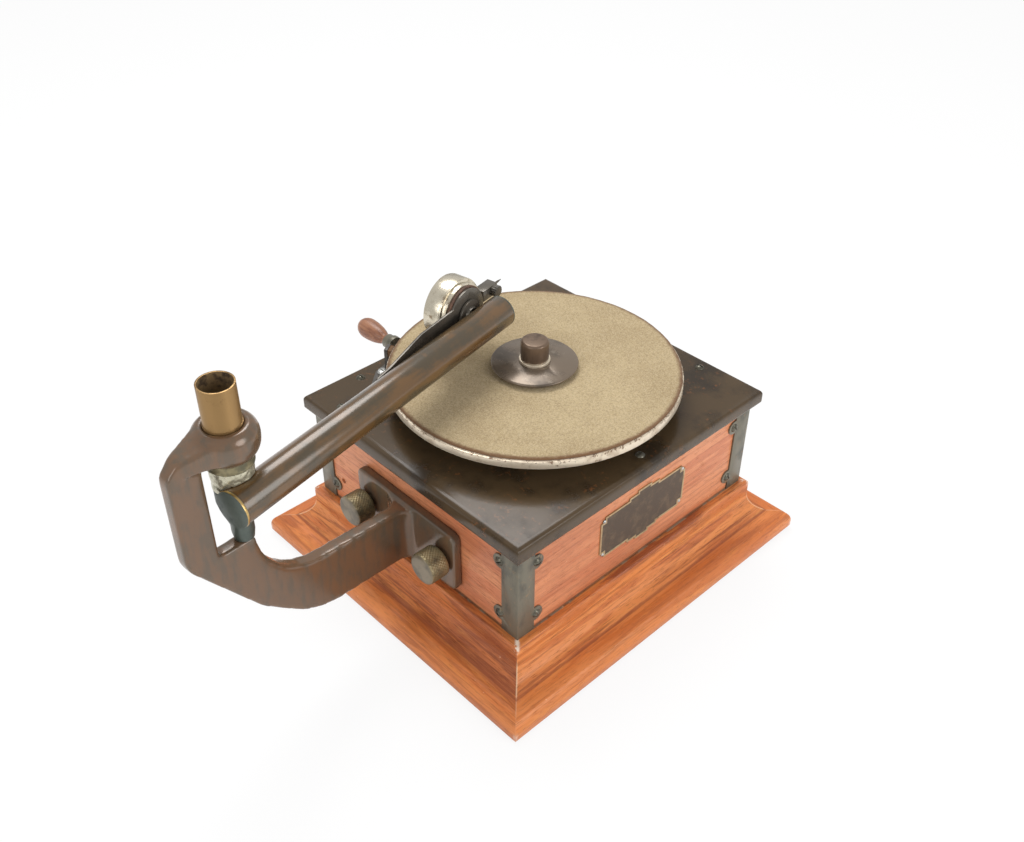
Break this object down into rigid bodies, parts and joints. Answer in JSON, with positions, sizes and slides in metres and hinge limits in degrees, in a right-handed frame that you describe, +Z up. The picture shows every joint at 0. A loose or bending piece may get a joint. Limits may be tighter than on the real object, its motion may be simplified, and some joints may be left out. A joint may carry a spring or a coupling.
{
  "type": "front-mount disc gramophone",
  "caption": "Disc gramophone without its horn: wooden cabinet on a moulded base, felt turntable, side crank, cast front bracket and a rigid swinging arm with its sound box.",
  "frame": {"origin": "middle of the base's underside", "axes": "+Z up, -Y to the front with the horn bracket, +X to the side with the nameplate, -X to the crank"},
  "size_m": [0.2887, 0.4223, 0.256],
  "materials": {
    "moulding_oak": "waxed oak with a strong grain",
    "board_oak": "waxed oak",
    "plain_wood": "bare wood",
    "gunmetal": "worn gunmetal",
    "steel": "plain steel",
    "plate_metal": "dark oxidised metal",
    "nameplate_metal": "dark etched metal, bare",
    "brass": "aged brass",
    "casting": "brown lacquered casting",
    "thumb_metal": "worn nickel on brass",
    "rim_nickel": "worn nickel plate",
    "felt": "worn felt",
    "label_metal": "dark polished metal",
    "cap_metal": "brown and bright metal",
    "arm_bronze": "oxidised tube",
    "solder": "bright solder",
    "spring_steel": "blackened spring steel",
    "box_nickel": "worn nickel plate",
    "gasket": "aged rubber",
    "mica": "clear mica",
    "brake_metal": "black japanned",
    "knob_wood": "polished wood"
  },
  "bodies": {
    "cabinet": {"base_rails": "moulding_oak", "board_front": "board_oak", "board_back": "board_oak", "board_left": "board_oak", "board_right": "board_oak", "bottom_board": "plain_wood", "corner_blocks": "plain_wood", "bottom_screws": "steel", "corner_brackets": "gunmetal", "bracket_screws": "gunmetal", "top_plate": "plate_metal", "plate_screws": "gunmetal", "nameplate": "nameplate_metal", "nameplate_pins": "brass", "crank_escutcheon": "gunmetal", "horn_bracket": "casting", "motor_upper_plate": "steel", "motor_lower_plate": "steel", "motor_pillars": "steel", "brake_screw": "steel"},
    "thumb_left": {"thumb_screw_left": "thumb_metal"},
    "thumb_right": {"thumb_screw_right": "thumb_metal"},
    "turntable": {"turntable": "rim_nickel", "turntable_felt": "felt", "label_plate": "label_metal", "spindle_collar": "rim_nickel", "spindle": "steel", "spindle_gears": "brass"},
    "clamp": {"clamp_cap": "cap_metal"},
    "arm": {"arm_tube": "arm_bronze", "arm_front_plug": "arm_bronze", "arm_rear_cap": "arm_bronze", "horn_tube": "brass", "horn_flange": "brass", "solder_joint": "solder", "pivot_pin": "steel", "throat": "solder", "strap_spring": "spring_steel", "strap_screw": "steel"},
    "sound_box": {"soundbox_body": "box_nickel", "soundbox_gasket": "gasket", "diaphragm": "mica", "front_ring": "box_nickel"},
    "needle_holder": {"needle_bar": "spring_steel", "needle": "steel"},
    "needle_clamp": {"needle_screw": "gunmetal"},
    "brake": {"brake_lever": "brake_metal", "brake_pad": "felt"},
    "crank": {"crank_shaft": "steel", "winding_pinion": "brass", "crank_arm": "steel"},
    "knob": {"crank_knob": "knob_wood"},
    "barrel": {"spring_barrel": "brass", "mainspring": "steel"},
    "winding": {"winding_arbor": "steel"},
    "intermediate": {"intermediate_arbor": "brass"},
    "governor": {"governor": "steel"},
    "pawl": {"pawl": "steel"},
    "speed_screw": {"speed_screw": "steel"},
    "governor_lever": {"governor_lever": "steel"}
  },
  "joints": [
    {"name": "turntable_spin", "type": "hinge", "parent": "cabinet", "child": "turntable", "pos_m": [0, 0, 0.14], "axis": [0, 0, 1], "continuous": true},
    {"name": "clamp_lift", "type": "slide", "parent": "turntable", "child": "clamp", "axis": [0, 0, 1], "range_m": [0, 0.012]},
    {"name": "barrel_turn", "type": "hinge", "parent": "cabinet", "child": "barrel", "pos_m": [-0.042, -0.033, 0.04], "axis": [0, 0, 1], "continuous": true},
    {"name": "intermediate_turn", "type": "hinge", "parent": "cabinet", "child": "intermediate", "pos_m": [0.00279, -0.0374, 0.04], "axis": [0, 0, 1], "continuous": true},
    {"name": "governor_turn", "type": "hinge", "parent": "cabinet", "child": "governor", "pos_m": [0, 0.03535, 0.07], "axis": [1, 0, 0], "continuous": true},
    {"name": "crank_turn", "type": "hinge", "parent": "cabinet", "child": "crank", "pos_m": [-0.1, -0.033, 0.08], "axis": [-1, 0, 0], "continuous": true},
    {"name": "winding_turn", "type": "hinge", "parent": "cabinet", "child": "winding", "pos_m": [-0.042, -0.033, 0.06], "axis": [0, 0, 1], "continuous": true},
    {"name": "knob_spin", "type": "hinge", "parent": "crank", "child": "knob", "pos_m": [-0.125, -0.033, 0.128], "axis": [-1, 0, 0], "continuous": true},
    {"name": "pawl_lower", "type": "hinge", "parent": "cabinet", "child": "pawl", "pos_m": [-0.0313, -0.018, 0.087], "axis": [0, 0, 1], "range_deg": [0, 9]},
    {"name": "arm_swing", "type": "hinge", "parent": "cabinet", "child": "arm", "pos_m": [0.008, -0.2365, 0.16], "axis": [0, 0, 1], "range_deg": [-4, 55]},
    {"name": "soundbox_turn", "type": "hinge", "parent": "arm", "child": "sound_box", "pos_m": [-0.04194, -0.02928, 0.1878], "axis": [-0.9803, -0.1977, 0], "range_deg": [-10, 50]},
    {"name": "needle_rock", "type": "hinge", "parent": "sound_box", "child": "needle_holder", "pos_m": [-0.04806, -0.00603, 0.1878], "axis": [0, 0, 1], "range_deg": [-1, 1], "stiffness_Nm_per_rad": 0.05},
    {"name": "needle_screw_turn", "type": "hinge", "parent": "needle_holder", "child": "needle_clamp", "pos_m": [-0.0458, 0.00452, 0.1888], "axis": [-0.9803, -0.1977, 0], "range_deg": [-180, 180]},
    {"name": "brake_swing", "type": "hinge", "parent": "cabinet", "child": "brake", "pos_m": [-0.0853, -0.066, 0.132], "axis": [0, 0, 1], "range_deg": [0, 15]},
    {"name": "thumb_left_turn", "type": "hinge", "parent": "cabinet", "child": "thumb_left", "pos_m": [-0.038, -0.125, 0.076], "axis": [0, -1, 0], "range_deg": [-360, 360]},
    {"name": "thumb_right_turn", "type": "hinge", "parent": "cabinet", "child": "thumb_right", "pos_m": [0.038, -0.125, 0.076], "axis": [0, -1, 0], "range_deg": [-360, 360]},
    {"name": "speed_screw_turn", "type": "hinge", "parent": "cabinet", "child": "speed_screw", "pos_m": [-0.078, -0.05, 0.0646], "axis": [0, -1, 0], "range_deg": [0, 170]},
    {"name": "governor_lever_turn", "type": "hinge", "parent": "cabinet", "child": "governor_lever", "pos_m": [-0.084, 0.012, 0.064], "axis": [0, 0, 1], "range_deg": [0, 4.2]}
  ],
  "couplings": [
    {"joint": "barrel_turn", "follows": "turntable_spin", "ratio": 0.0625},
    {"joint": "intermediate_turn", "follows": "turntable_spin", "ratio": -0.25},
    {"joint": "governor_turn", "follows": "turntable_spin", "ratio": 10},
    {"joint": "winding_turn", "follows": "crank_turn", "ratio": 0.5},
    {"joint": "governor_lever_turn", "follows": "speed_screw_turn", "ratio": 0.018}
  ]
}
